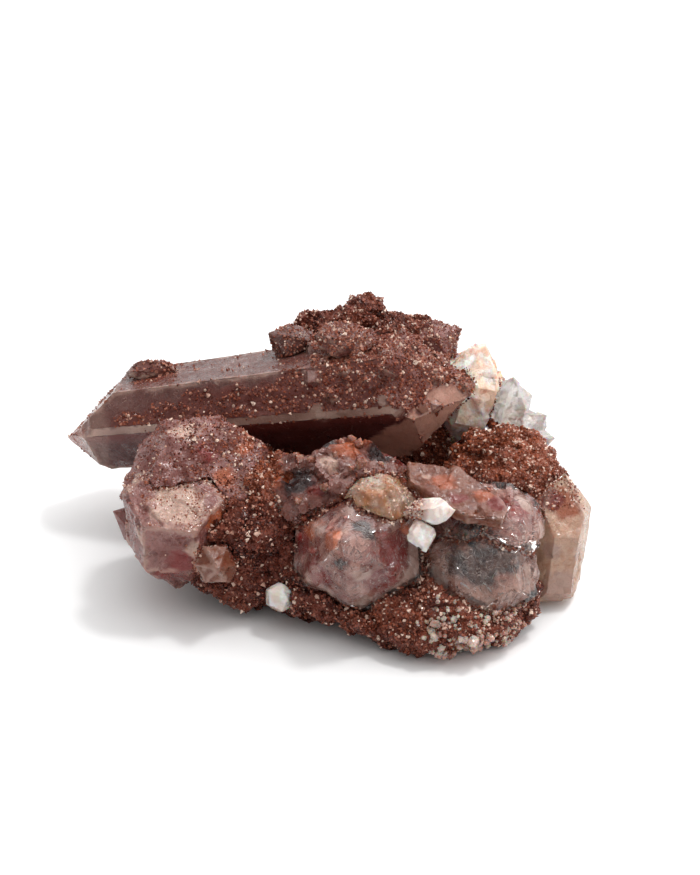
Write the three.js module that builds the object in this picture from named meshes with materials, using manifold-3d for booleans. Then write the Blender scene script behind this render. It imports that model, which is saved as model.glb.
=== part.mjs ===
// Hematoid quartz on matrix: a cluster of iron-stained quartz crystals grown on a lump of brown
// druse-coated rock. Millimetres, +Z up, and +Y away from the side that is seen first.
// The origin is under the middle of the specimen, on the surface that it rests on.
import * as THREE from "three";
import { ConvexGeometry } from "three/addons/geometries/ConvexGeometry.js";
import { mergeVertices } from "three/addons/utils/BufferGeometryUtils.js";
import Module from "manifold-3d";

const wasm = await Module();
wasm.setup();

// Driving dimensions
const SEAM = 0.3; // open seam between two pieces that grew against each other
const RHOMB_TILT = THREE.MathUtils.degToRad(38.2); // quartz: prism face to rhombohedral end face
const PRISM_STEP = Math.PI / 3; // quartz: one prism face to the next
const SAME_POINT = 1e-3; // corners closer than this are one corner
const FINE_DETAIL = 0.06; // slivers that stand out less than this are smoothed away
const REST_PLANE = 0; // the matrix is broken off flat at this height
const SEAT_DEPTH = 60; // size of the block that takes away what is under the rest plane

// Seeded random numbers, so that the specimen is the same each time
function randomFrom(seed) {
  let state = seed;
  return () => {
    state = (state + 0x6d2b79f5) | 0;
    let mixed = Math.imul(state ^ (state >>> 15), 1 | state);
    mixed = (mixed + Math.imul(mixed ^ (mixed >>> 7), 61 | mixed)) ^ mixed;
    return ((mixed ^ (mixed >>> 14)) >>> 0) / 4294967296;
  };
}

// Smooth noise between -1 and 1 from a hash of the grid corners
function cornerValue(x, y, z) {
  const wave = Math.sin(x * 127.1 + y * 311.7 + z * 74.7) * 43758.5453;
  return 2 * (wave - Math.floor(wave)) - 1;
}

function smoothNoise(point) {
  const cell = point.clone().floor();
  const part = point.clone().sub(cell);
  const ease = (t) => t * t * (3 - 2 * t);
  const share = (i, t) => (i ? ease(t) : 1 - ease(t));
  let sum = 0;
  for (const i of [0, 1])
    for (const j of [0, 1])
      for (const k of [0, 1]) {
        const weight = share(i, part.x) * share(j, part.y) * share(k, part.z);
        sum += weight * cornerValue(cell.x + i, cell.y + j, cell.z + k);
      }
  return sum;
}

// From a three.js geometry to a solid and back
function solidOf(geometry) {
  const bare = geometry.clone();
  bare.deleteAttribute("normal");
  bare.deleteAttribute("uv");
  const merged = mergeVertices(bare, SAME_POINT);
  const vertProperties = new Float32Array(merged.attributes.position.array);
  const triVerts = new Uint32Array(merged.index.array);
  return new wasm.Manifold(new wasm.Mesh({ numProp: 3, vertProperties, triVerts }));
}

function geometryOf(solid) {
  const mesh = solid.getMesh();
  const geometry = new THREE.BufferGeometry();
  geometry.setAttribute("position", new THREE.BufferAttribute(mesh.vertProperties, mesh.numProp));
  geometry.setIndex(new THREE.BufferAttribute(mesh.triVerts, 1));
  return geometry;
}

const vector = (xyz) => new THREE.Vector3(...xyz);
const largestBody = (solid) => solid.decompose().reduce((a, b) => (b.volume() > a.volume() ? b : a));
const joined = (solids) => wasm.Manifold.union(solids);

// The body that a set of planes encloses. Each plane is a normal and its distance from the origin.
function bodyInside(planes) {
  const corners = new Map();
  for (let i = 0; i < planes.length; i++)
    for (let j = i + 1; j < planes.length; j++)
      for (let k = j + 1; k < planes.length; k++) {
        const [a, b, c] = [planes[i], planes[j], planes[k]];
        const bc = new THREE.Vector3().crossVectors(b.normal, c.normal);
        const share = a.normal.dot(bc);
        if (Math.abs(share) < 1e-6) continue;
        const corner = bc
          .multiplyScalar(a.distance)
          .addScaledVector(new THREE.Vector3().crossVectors(c.normal, a.normal), b.distance)
          .addScaledVector(new THREE.Vector3().crossVectors(a.normal, b.normal), c.distance)
          .divideScalar(share);
        const outside = planes.some((p) => p.normal.dot(corner) > p.distance + SAME_POINT);
        if (!outside) corners.set(corner.toArray().map((v) => v.toFixed(2)).join(), corner);
      }
  return solidOf(new ConvexGeometry([...corners.values()]));
}

// One quartz crystal: six prism faces and six rhombohedral faces on each end.
// at: a point on its axis. axis: where its tip points. facing: where prism face 0 looks.
// flats: distance from the axis to each prism face. tip, foot: how far the ends reach from at.
// tipLean, footLean: what each end face is set back by, so that the faces differ in size.
// taper: degrees by which the prism narrows towards the foot. cuts: broken or extra flat faces.
// grow: what every face is moved out by, which makes the socket that the crystal sits in.
function quartzCrystal(habit, grow = 0) {
  const { at, axis, facing, flats, tip, foot, taper = 0, cuts = [] } = habit;
  const { tipLean = [0, 0, 0, 0, 0, 0], footLean = [0, 0, 0, 0, 0, 0] } = habit;
  const middle = vector(at);
  const up = vector(axis).normalize();
  const front = vector(facing).projectOnPlane(up).normalize();
  const lean = THREE.MathUtils.degToRad(taper);
  const planes = [];
  const addPlane = (normal, point) => {
    planes.push({ normal, distance: normal.dot(point) + grow });
  };
  flats.forEach((flat, k) => {
    const side = front.clone().applyAxisAngle(up, k * PRISM_STEP);
    const onSide = middle.clone().addScaledVector(side, flat);
    const prism = side.clone().multiplyScalar(Math.cos(lean)).addScaledVector(up, -Math.sin(lean));
    addPlane(prism, onSide);
    const tilted = (way) =>
      side.clone().multiplyScalar(Math.cos(RHOMB_TILT)).addScaledVector(up, way * Math.sin(RHOMB_TILT));
    addPlane(tilted(1), middle.clone().addScaledVector(up, tip - tipLean[k]));
    addPlane(tilted(-1), middle.clone().addScaledVector(up, footLean[k] - foot));
  });
  for (const cut of cuts) addPlane(vector(cut.normal).normalize(), vector(cut.at));
  return bodyInside(planes);
}

// A rough lump: a sphere with noise on it, stretched to size.
// detail: how fine its faces are. bumps: height of the noise as a share of its size.
function lump({ at, size, detail, bumps, grain, seed }, grow = 0) {
  const ball = new THREE.IcosahedronGeometry(1, detail);
  const position = ball.attributes.position;
  const point = new THREE.Vector3();
  const offset = new THREE.Vector3(seed, seed * 1.7, seed * 2.3);
  for (let i = 0; i < position.count; i++) {
    point.fromBufferAttribute(position, i);
    const sample = point.clone().multiply(vector(size)).divideScalar(grain).add(offset);
    const fine = sample.clone().multiplyScalar(2.3);
    const rise = 1 + bumps * (smoothNoise(sample) + 0.5 * smoothNoise(fine));
    point.multiply(vector(size).addScalar(grow)).multiplyScalar(rise).add(vector(at));
    position.setXYZ(i, point.x, point.y, point.z);
  }
  return solidOf(ball);
}


// Places a three.js geometry: turned by degrees about X, Y and Z, then moved.
function placed(geometry, { at, turn = [0, 0, 0] }) {
  const angles = turn.map(THREE.MathUtils.degToRad);
  const spin = new THREE.Quaternion().setFromEuler(new THREE.Euler(...angles));
  return geometry.applyMatrix4(new THREE.Matrix4().compose(vector(at), spin, vector([1, 1, 1])));
}

// Where small crystals stand on a solid's surface: a point, a width and an axis for each.
// count, size, seed: how many, their width and the draw. where: which points of the surface get one.
function studPlaces(solid, { count, size, seed, where }) {
  const random = randomFrom(seed);
  const surface = geometryOf(solid).toNonIndexed().attributes.position;
  const triangle = new THREE.Triangle();
  const normal = new THREE.Vector3();
  const areas = [];
  let area = 0;
  for (let i = 0; i < surface.count; i += 3) {
    triangle.setFromAttributeAndIndices(surface, i, i + 1, i + 2);
    area += triangle.getArea();
    areas.push(area);
  }
  const places = [];
  for (let tries = 0; tries < 40 * count && places.length < count; tries++) {
    const pick = random() * area;
    const face = 3 * areas.findIndex((upTo) => upTo >= pick);
    triangle.setFromAttributeAndIndices(surface, face, face + 1, face + 2);
    triangle.getNormal(normal);
    const [u, v] = [Math.sqrt(random()), random()];
    const point = triangle.a.clone().multiplyScalar(1 - u);
    point.addScaledVector(triangle.b, u * (1 - v)).addScaledVector(triangle.c, u * v);
    const lean = new THREE.Vector3(random() - 0.5, random() - 0.5, random() - 0.5);
    const width = size * (0.7 + 0.6 * random());
    const crowded = places.some((p) => p.point.distanceTo(point) < 0.55 * (width + p.width));
    if (!crowded && where(point, normal))
      places.push({ point, width, axis: normal.clone().addScaledVector(lean, 0.7).normalize() });
  }
  return places;
}

// The small crystals themselves: a six-sided point, sunk into the surface
const STUD_SINK = 0.3; // share of a point's height that is under the surface
function studsAt(places, gap = 0) {
  const upwards = new THREE.Vector3(0, 1, 0);
  return places.map(({ point, width, axis }) => {
    const height = 0.85 * width + 2 * gap;
    const spin = new THREE.Quaternion().setFromUnitVectors(upwards, axis);
    const stud = new THREE.ConeGeometry(0.77 * width + 1.8 * gap, height, 6);
    stud.translate(0, (0.5 - STUD_SINK) * height, 0).applyQuaternion(spin).translate(...point.toArray());
    return solidOf(stud);
  });
}

// The big crystal that lies across the top, with a tip at each end
const longCrystal = {
  at: [15, 10, 26.8],
  axis: [53, -10, 10.8],
  facing: [0, -0.82, 0.573],
  flats: [9.5, 8.4, 9.6, 9, 9.2, 8.6],
  tip: 8.8,
  tipLean: [0, -1.6, 0, 0, 0, 0],
  foot: 64,
  footLean: [0, 0, 0, 2, 4.4, 5.2],
  taper: 2.2,
};

// The two crystals at the left end and the small ones beside them
const leftCrystal = {
  at: [-24, -11.5, 9],
  axis: [-0.02, -0.1, 0.99],
  facing: [-0.1, -1, 0],
  flats: [6.5, 7, 7.4, 6.5, 7, 6.6],
  tip: 20,
  foot: 7,
  cuts: [
    { normal: [0.04, -0.41, 0.91], at: [-24, -14, 19.9] },
    { normal: [0, 0.9, 0.4], at: [-24, -9.6, 21] },
  ],
};
const domeCrystal = {
  at: [-20.5, -3, 15],
  axis: [-0.25, -0.25, 0.92],
  facing: [0.1, -1, 0.2],
  flats: [9.5, 11, 10, 8, 10, 10.5],
  tip: 20,
  foot: 14,
  cuts: [
    { normal: [0, 0.1, 1], at: [-20, -3, 26.2] },
    { normal: [-0.76, -0.1, 0.65], at: [-28.6, -3, 22.5] },
    { normal: [0.1, -0.6, 0.8], at: [-20, -10.5, 21.6] },
  ],
};
const cornerCrystal = {
  at: [-17.8, -17, 10.4],
  axis: [0.15, -0.8, 0.35],
  facing: [0, 0.4, 0.9],
  flats: [2.8, 3.4, 2.8, 2.6, 3.2, 2.8],
  tip: 6,
  foot: 8,
};
const leftStub = {
  at: [-31, -5, 11],
  axis: [-0.8, -0.1, 0.5],
  facing: [0.3, -1, 0.4],
  flats: [2.8, 3, 2.8, 2.8, 3, 2.8],
  tip: 4,
  foot: 6,
};

// The crystals that point forwards in the middle of the front, and what lies on them
const frontCrystal = {
  at: [4.8, -16, 11.7],
  axis: [-0.194, -0.789, 0.583],
  facing: [1, 0, 0],
  flats: [11.2, 9.4, 8.6, 10.8, 8, 9],
  tip: 14.5,
  foot: 12,
};
const smokyCrystal = {
  at: [23.4, -18, 9.4],
  axis: [0.05, -0.85, 0.5],
  facing: [1, 0, 0.05],
  flats: [8.4, 7.6, 7.6, 8.4, 8.4, 7.4],
  tip: 13,
  foot: 12,
  cuts: [
    { normal: [0.05, -0.85, 0.5], at: [24.5, -25, 11.5] },
    { normal: [0, 0, -1], at: [24, -18, 1.5] },
  ],
};
const creamCrystal = {
  at: [7, -15, 20.5],
  axis: [-0.1, -0.35, 0.92],
  facing: [0, -1, 0],
  flats: [4.6, 5.4, 5.4, 4.4, 5.4, 5.6],
  tip: 6.2,
  foot: 8,
  cuts: [{ normal: [0, -0.1, 1], at: [7, -15, 23.8] }],
};
const upperWhiteChip = {
  at: [15, -20, 21.4],
  axis: [0.85, -0.35, 0.25],
  facing: [0.3, -0.2, 1],
  flats: [1.3, 2, 2.2, 1.3, 2, 2.2],
  tip: 4.6,
  foot: 4,
};
const lowerWhiteChip = {
  at: [14, -22.6, 19],
  axis: [0.25, -0.6, -0.8],
  facing: [0.3, -1, 0.6],
  flats: [1.2, 1.9, 1.9, 1.2, 1.9, 1.9],
  tip: 3,
  foot: 2.8,
};
const whiteBead = {
  at: [-7.5, -19.4, 5.6],
  axis: [0.3, -0.8, 0.4],
  facing: [1, 0, 0],
  flats: [2, 1.9, 2, 2, 1.9, 2],
  tip: 3.2,
  foot: 4,
};

// The crystal that stands at the right end
const rightCrystal = {
  at: [35.8, -7, 8],
  axis: [0.1, 0.12, 0.98],
  facing: [0.2, -1, 0.1],
  flats: [6.6, 4.6, 4.2, 5.5, 5, 5.4],
  tip: 12.4,
  tipLean: [0, 0, 0, 0, 0, -2],
  foot: 14,
  cuts: [{ normal: [0.1, 0, -1], at: [34, -6, 1] }],
};

// The crystals on the ridge and the back
const ridgeCrystal = {
  at: [-6.5, 18, 31.5],
  axis: [-0.7, -0.2, 0.4],
  facing: [0, -1, 0.3],
  flats: [2.6, 2.8, 2.6, 2.6, 2.8, 2.6],
  tip: 4.4,
  foot: 6,
};
const smokyChip = {
  at: [17.4, 19, 31],
  axis: [0.75, -0.1, 0.5],
  facing: [0, -1, 0.3],
  flats: [2.8, 3, 2.8, 2.8, 3.2, 2.8],
  tip: 5,
  foot: 6,
};
const backCrystal = {
  at: [-12, 20, 12],
  axis: [-0.55, 0.75, 0.25],
  facing: [0, 0, 1],
  flats: [5, 4.6, 5, 5, 4.6, 5],
  tip: 11,
  foot: 10,
};
const backPoint = {
  at: [18, 22, 13],
  axis: [0.4, 0.85, 0.2],
  facing: [0, 0, 1],
  flats: [4.2, 3.8, 4.2, 4, 3.8, 4.2],
  tip: 11,
  foot: 9,
};

// The milky one behind the right end of the long crystal, broken off on top
const milkyQuartz = {
  at: [21.6, 13.6, 22.6],
  axis: [0.3, 0.1, 0.95],
  facing: [0.3, -1, 0.1],
  flats: [5, 4.8, 4.6, 5, 4.8, 4.6],
  tip: 11.4,
  foot: 8,
  cuts: [{ normal: [-0.25, -0.2, 1], at: [20.4, 13.6, 31.4] }],
};

// The small clear crystals that stand together behind the right end
const clearPoints = [
  { at: [29, 13, 21.5], axis: [0.1, -0.2, 1], flats: Array(6).fill(3.2), tip: 7, foot: 7 },
  { at: [32.2, 11, 19.4], axis: [0.5, -0.2, 0.5], flats: Array(6).fill(2.6), tip: 4.4, foot: 5 },
  { at: [33.6, 9.5, 18], axis: [0.9, -0.3, 0.25], flats: Array(6).fill(1.8), tip: 3.2, foot: 4 },
];

// The thin blade of red quartz, a flat outline with a thickness, and the round broken one under it
const redBlade = {
  outline: [[-7.1, 6.1], [0, 4.6], [6, -0.3], [7.8, -4.7], [6.9, -7], [1.4, -6.5], [-2.6, -3.3], [-7, 1.4]],
  thickness: 1.7,
  narrowest: 4,
  at: [19.4, -14.4, 20.8],
  turn: [9, 3, 0],
};
const roundQuartz = {
  body: { at: [24.6, -13.4, 15], size: [9, 8.6, 6.6], detail: 2, bumps: 0.06, grain: 6, seed: 43 },
  dish: { at: [22.4, -17, 27], size: [9, 9, 8.4], detail: 2, bumps: 0.03, grain: 6, seed: 44 },
};

// Rough lumps: broken quartz behind the front crystal, crust on the long crystal, and the matrix
const brokenQuartz = { at: [1, -9, 17.8], size: [11.6, 7, 7.4], detail: 2, bumps: 0.2, grain: 4, seed: 41 };
const crustLumps = [
  { at: [2.4, 12.4, 34.6], size: [4.6, 3.6, 2.6], detail: 2, bumps: 0.3, grain: 1.6, seed: 53 },
  { at: [-29.4, 20, 25.2], size: [4.6, 1.8, 1.6], detail: 1, bumps: 0.3, grain: 1.2, seed: 59 },
];
const matrixLumps = [
  { at: [9, 1, 5], size: [27, 24, 9.5], detail: 4, bumps: 0.13, grain: 7, seed: 3 },
  { at: [6, 18, 16], size: [20, 12, 14], detail: 3, bumps: 0.14, grain: 6, seed: 11 },
  { at: [7, 22, 28.5], size: [14.6, 6, 6.8], detail: 3, bumps: 0.18, grain: 4, seed: 17 },
  { at: [5, 21.5, 34.2], size: [4, 3.4, 3.4], detail: 2, bumps: 0.2, grain: 2, seed: 19 },
  { at: [28, 2, 13], size: [10, 12, 9.4], detail: 3, bumps: 0.14, grain: 5, seed: 23 },
  { at: [17, -18, 4.5], size: [15, 12, 6], detail: 4, bumps: 0.16, grain: 5, seed: 29 },
  { at: [-14, -5, 12], size: [12, 12, 11], detail: 3, bumps: 0.16, grain: 5, seed: 31 },
  { at: [-13, -9.8, 5.6], size: [10, 7.4, 4.8], detail: 2, bumps: 0.16, grain: 5, seed: 33 },
  { at: [-13, 14, 9], size: [14, 11, 9], detail: 3, bumps: 0.14, grain: 5, seed: 37 },
];

// Pits in the matrix: the druse-lined one left of the front crystal, the hollow behind the red
// blade, the one under the long crystal, and a ledge that is broken out at the back
const matrixPits = [
  { at: [-9.5, -19.5, 11], size: [3.6, 4.6, 4.6], detail: 2, bumps: 0.2, grain: 3, seed: 61 },
  { at: [21, -2, 22], size: [4.4, 4, 3.6], detail: 2, bumps: 0.2, grain: 3, seed: 67 },
  { at: [-7, 4, 22], size: [7, 5, 4], detail: 2, bumps: 0.2, grain: 3, seed: 71 },
  { at: [4, 34, 27], size: [13, 9, 9], detail: 2, bumps: 0.1, grain: 5, seed: 73 },
];

// Colours and finishes
const finish = (color, roughness) => new THREE.MeshStandardMaterial({ color, roughness, metalness: 0 });
const finishes = {
  druse: finish(0x6b3a31, 0.55),
  mauve: finish(0x7d5a57, 0.3),
  rust: finish(0x9a5340, 0.4),
  clear: finish(0x8e8482, 0.1),
  honey: finish(0xa98466, 0.2),
  cream: finish(0xc4ab90, 0.3),
  white: finish(0xe3dcd5, 0.2),
  smoke: finish(0x55504f, 0.15),
};

const specimen = new THREE.Group();
function addPiece(name, solid, material) {
  const mesh = new THREE.Mesh(geometryOf(solid.simplify(FINE_DETAIL)), material);
  mesh.name = name;
  specimen.add(mesh);
}

// Each piece grew where others already were. taken is what those fill, with a seam round them.
const seat = new THREE.BoxGeometry(200, 200, SEAT_DEPTH).translate(0, 0, REST_PLANE - SEAT_DEPTH / 2);
let taken = solidOf(seat);
function grow(name, material, make) {
  addPiece(name, largestBody(make(0).subtract(taken)), material);
  taken = joined([taken, make(SEAM)]);
}
const growCrystal = (name, material, habit) => grow(name, material, (gap) => quartzCrystal(habit, gap));

// The druse crust on the long crystal covers its right half, apart from the clean face of its tip
const crustStart = -3;
const longAxis = vector(longCrystal.axis).normalize();
const cleanTipFace = vector(longCrystal.facing)
  .projectOnPlane(longAxis)
  .normalize()
  .applyAxisAngle(longAxis, PRISM_STEP)
  .multiplyScalar(Math.cos(RHOMB_TILT))
  .addScaledVector(longAxis, Math.sin(RHOMB_TILT));
const crustPlaces = studPlaces(quartzCrystal(longCrystal), {
  count: 36,
  size: 2.4,
  seed: 5,
  where: (point, normal) =>
    point.x > crustStart && normal.z > -0.2 && point.z > 24 && normal.dot(cleanTipFace) < 0.97,
});
function longWithCrust(gap) {
  const lumps = crustLumps.map((l) => lump(l, gap));
  return joined([quartzCrystal(longCrystal, gap), ...lumps, ...studsAt(crustPlaces, gap)]);
}

grow("long_crystal", finishes.mauve, longWithCrust);
growCrystal("left_crystal", finishes.mauve, leftCrystal);
growCrystal("corner_crystal", finishes.rust, cornerCrystal);
growCrystal("dome_crystal", finishes.mauve, domeCrystal);
growCrystal("left_stub", finishes.mauve, leftStub);
growCrystal("front_crystal", finishes.clear, frontCrystal);
growCrystal("smoky_crystal", finishes.smoke, smokyCrystal);
growCrystal("right_crystal", finishes.honey, rightCrystal);
growCrystal("lower_white_chip", finishes.white, lowerWhiteChip);
growCrystal("upper_white_chip", finishes.white, upperWhiteChip);
growCrystal("cream_crystal", finishes.cream, creamCrystal);
growCrystal("white_bead", finishes.white, whiteBead);
growCrystal("ridge_crystal", finishes.mauve, ridgeCrystal);
growCrystal("smoky_chip", finishes.smoke, smokyChip);
growCrystal("back_crystal", finishes.mauve, backCrystal);
growCrystal("back_point", finishes.clear, backPoint);

// The blade and the round quartz under it
function bladeSolid(gap) {
  const shape = new THREE.Shape(redBlade.outline.map((xy) => new THREE.Vector2(...xy)));
  const depth = redBlade.thickness + 2 * gap;
  const flat = new THREE.ExtrudeGeometry(shape, { depth, bevelEnabled: false });
  const spread = 1 + gap / redBlade.narrowest;
  return solidOf(placed(flat.translate(0, 0, -gap).scale(spread, spread, 1), redBlade));
}
function roundSolid(gap) {
  const { body, dish } = roundQuartz;
  return lump(body, gap).subtract(lump(dish, -gap));
}
grow("red_blade", finishes.rust, bladeSolid);
grow("round_quartz", finishes.clear, roundSolid);
grow("broken_quartz", finishes.clear, (gap) => lump(brokenQuartz, gap));
const facingFront = { facing: [0.2, -1, 0] };
grow("clear_points", finishes.white, (gap) =>
  joined(clearPoints.map((p) => quartzCrystal({ ...facingFront, ...p }, gap))),
);
growCrystal("milky_quartz", finishes.cream, milkyQuartz);

// The matrix fills what is left, and small crystals stand out of it
const hollows = joined([taken, ...matrixPits.map((p) => lump(p))]);
const rock = largestBody(joined(matrixLumps.map((l) => lump(l))).subtract(hollows));
const rockPlaces = studPlaces(rock, {
  count: 50,
  size: 2.8,
  seed: 7,
  where: (point, normal) => point.z > 2.5 && normal.z > -0.5,
});
addPiece("matrix", largestBody(joined([rock, ...studsAt(rockPlaces)]).subtract(taken)), finishes.druse);

// The origin goes under the middle of the specimen
const box = new THREE.Box3().setFromObject(specimen);
specimen.position.set(-(box.min.x + box.max.x) / 2, -(box.min.y + box.max.y) / 2, -box.min.z);

export default specimen;
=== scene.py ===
# %% [markdown]
# Hematoid quartz on matrix, dressed for the camera.
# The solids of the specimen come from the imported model. They are the frame: every piece made here
# copies or sits on one of them. The scene is in metres, but sizes and places are easier to think
# of in millimetres, so the helpers take those and multiply by MM.

# %% Load the frame
import math

import bmesh
import bpy
import numpy as np
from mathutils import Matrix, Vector, noise
from mathutils.bvhtree import BVHTree


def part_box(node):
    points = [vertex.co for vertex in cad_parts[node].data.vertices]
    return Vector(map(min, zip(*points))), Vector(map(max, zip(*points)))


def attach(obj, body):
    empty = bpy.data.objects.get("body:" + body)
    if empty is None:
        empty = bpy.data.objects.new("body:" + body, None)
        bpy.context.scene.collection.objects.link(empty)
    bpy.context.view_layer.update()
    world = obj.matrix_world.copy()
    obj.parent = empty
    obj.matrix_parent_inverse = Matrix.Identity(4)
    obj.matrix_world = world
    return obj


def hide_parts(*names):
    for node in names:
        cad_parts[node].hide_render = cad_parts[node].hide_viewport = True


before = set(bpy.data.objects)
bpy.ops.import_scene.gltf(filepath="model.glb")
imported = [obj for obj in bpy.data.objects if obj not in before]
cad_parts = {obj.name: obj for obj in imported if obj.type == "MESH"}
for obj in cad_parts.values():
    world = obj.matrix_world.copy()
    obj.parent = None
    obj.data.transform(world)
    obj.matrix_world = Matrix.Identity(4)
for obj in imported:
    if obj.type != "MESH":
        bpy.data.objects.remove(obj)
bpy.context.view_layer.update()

MM = 0.001

# %% [markdown]
# The camera looks down at the specimen by 28 degrees with a long lens, so that the near and far
# crystals are drawn at nearly the same scale. It is placed by the point it looks at and a distance.

# %% Camera
LOOK_AT = Vector((4.5, 2.7, 21.8)) * MM
LOOK_DOWN = math.radians(28)
CAMERA_DISTANCE = 388.9 * MM
LENS_LENGTH = 100  # Blender keeps the lens and the sensor in millimetres
SENSOR_WIDTH = 36


def new_object(name, data):
    made = bpy.data.objects.new(name, data)
    bpy.context.scene.collection.objects.link(made)
    return made


lens = bpy.data.cameras.new("camera")
lens.lens = LENS_LENGTH
lens.sensor_width = SENSOR_WIDTH
camera = new_object("camera", lens)
towards_camera = Vector((0, -math.cos(LOOK_DOWN), math.sin(LOOK_DOWN)))
camera.location = LOOK_AT + towards_camera * CAMERA_DISTANCE
camera.rotation_euler = (math.pi / 2 - LOOK_DOWN, 0, 0)
bpy.context.scene.camera = camera
print("camera at", [round(v / MM) for v in camera.location], "mm")

# %% [markdown]
# Colours are easiest to name as they look on a screen, from 0 to 255. Shaders add and multiply
# light, so they need the linear value. This helper does that one conversion.

# %% Colour helper
def screen_colour(*values):
    shares = [value / 255 for value in values]
    return [s / 12.92 if s <= 0.04045 else ((s + 0.055) / 1.055) ** 2.4 for s in shares] + [1]


# %% [markdown]
# A shader is a small graph. Writing it takes three moves: add a node, set its inputs, link it.
# These helpers make each of them one short call, so that a material reads like a recipe.
# A colour of three numbers is taken as a screen colour. Most recipes are a base colour with coats
# over it, and each coat says where it lies, how strong it is, and its colour.

# %% Shader helpers
class Recipe:
    """A node tree with short calls."""

    def __init__(self, tree):
        self.tree = tree

    def add(self, kind, settings=None, **inputs):
        made = self.tree.nodes.new(kind)
        for key, value in (settings or {}).items():
            setattr(made, key, value)
        self.give(made, **inputs)
        return made

    def give(self, node, **inputs):
        for key, value in inputs.items():
            self.feed(node.inputs[key.replace("_", " ")], value)

    def feed(self, socket, value):
        if isinstance(value, bpy.types.NodeSocket):
            self.tree.links.new(value, socket)
        elif socket.type == "RGBA" and len(value) == 3:
            socket.default_value = screen_colour(*value)
        else:
            socket.default_value = value

    def calculate(self, kind, operation, values):
        made = self.add(kind, {"operation": operation})
        for socket, value in zip(made.inputs, values):
            self.feed(socket, value)
        return made.outputs

    def maths(self, operation, *values):
        return self.calculate("ShaderNodeMath", operation, values)[0]

    def vectors(self, operation, *values):
        return self.calculate("ShaderNodeVectorMath", operation, values)["Vector"]

    def dot(self, *values):
        return self.calculate("ShaderNodeVectorMath", "DOT_PRODUCT", values)["Value"]

    def times(self, result, *values):
        for value in values:
            result = self.maths("MULTIPLY", result, value)
        return result

    def plus(self, result, *values):
        for value in values:
            result = self.maths("ADD", result, value)
        return result

    def ramp(self, value, low, high):
        """Goes from 0 to 1 while the value goes from low to high."""
        made = self.add("ShaderNodeMapRange", {"interpolation_type": "SMOOTHSTEP"}, Value=value)
        made.inputs["From Min"].default_value = low
        made.inputs["From Max"].default_value = high
        return made.outputs["Result"]

    def mix(self, share, first, second):
        made = self.add("ShaderNodeMix", {"data_type": "RGBA"})
        for number, value in ((0, share), (6, first), (7, second)):
            self.feed(made.inputs[number], value)
        return made.outputs[2]

    def coats(self, colour, *coats):
        for where, strength, coat in coats:
            colour = self.mix(self.times(where, strength), colour, coat)
        return colour

    def place(self):
        return self.add("ShaderNodeTexCoord").outputs["Object"]

    def stored(self, name):
        return self.add("ShaderNodeAttribute", {"attribute_name": name}).outputs["Fac"]

    def cloud(self, scale, detail=4, roughness=0.55, distortion=0.0, place=None):
        made = self.add("ShaderNodeTexNoise", Scale=scale, Detail=detail, Roughness=roughness)
        self.give(made, Distortion=distortion, Vector=place or self.place())
        return made.outputs["Fac"]

    def hills(self, size, depth):
        return self.times(self.cloud(1 / (size * MM)), depth * MM)

    def bump(self, *heights):
        """A normal from heights in metres, added up."""
        made = self.add("ShaderNodeBump", Strength=1.0, Distance=1.0, Height=self.plus(*heights))
        return made.outputs["Normal"]


def new_material(name):
    material = bpy.data.materials.new(name)
    material.use_nodes = True
    material.node_tree.nodes.clear()
    recipe = Recipe(material.node_tree)
    skin = recipe.add("ShaderNodeBsdfPrincipled")
    output = recipe.add("ShaderNodeOutputMaterial", Surface=skin.outputs["BSDF"])
    return material, recipe, skin, output


# %% [markdown]
# Three effects come back on nearly every crystal, so each is a node group with named sockets.
# Growth lines are the fine level steps across the side faces of quartz, square to its long axis.
# Veils are the milky wisps and iron stains under the surface: soft clouds, sharper ones in them,
# tiny specks, and arcs, the curved bright lines where a shell-shaped break inside catches the light.
# Facets are what makes druse and broken quartz glitter: the skin is divided in cells, and each cell
# is a small flat face that leans its own way. The height is the distance from the middle of the
# cell along a random direction, so it rises evenly across the cell, as a tilted plane does.

# %% Shared node groups
NUMBER = "NodeSocketFloat"


def new_group(name, inputs, outputs):
    """Each input has a name, a kind and a value. Each output has a name and is a plain number."""
    group = bpy.data.node_groups.new(name, "ShaderNodeTree")
    for socket_name, kind, value in inputs:
        socket = group.interface.new_socket(socket_name, in_out="INPUT", socket_type=kind)
        socket.default_value = value
    for socket_name in outputs:
        group.interface.new_socket(socket_name, in_out="OUTPUT", socket_type=NUMBER)
    recipe = Recipe(group)
    return group, recipe, recipe.add("NodeGroupInput").outputs, recipe.add("NodeGroupOutput").inputs


def make_growth_lines():
    group, recipe, given, result = new_group(
        "growth_lines", [("Axis", "NodeSocketVector", (0, 0, 1)), ("Spacing", NUMBER, 0.0006)], ["Height"]
    )
    place = recipe.place()
    steps = recipe.maths("DIVIDE", recipe.dot(place, given["Axis"]), given["Spacing"])
    bend = recipe.times(recipe.cloud(1 / (6 * MM), 2, place=place), 3.0)
    line = recipe.add("ShaderNodeTexNoise", {"noise_dimensions": "1D"}, Scale=1.0, Detail=3.0, Roughness=0.6)
    recipe.feed(line.inputs["W"], recipe.plus(steps, bend))
    recipe.feed(result["Height"], line.outputs["Fac"])
    return group


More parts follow.
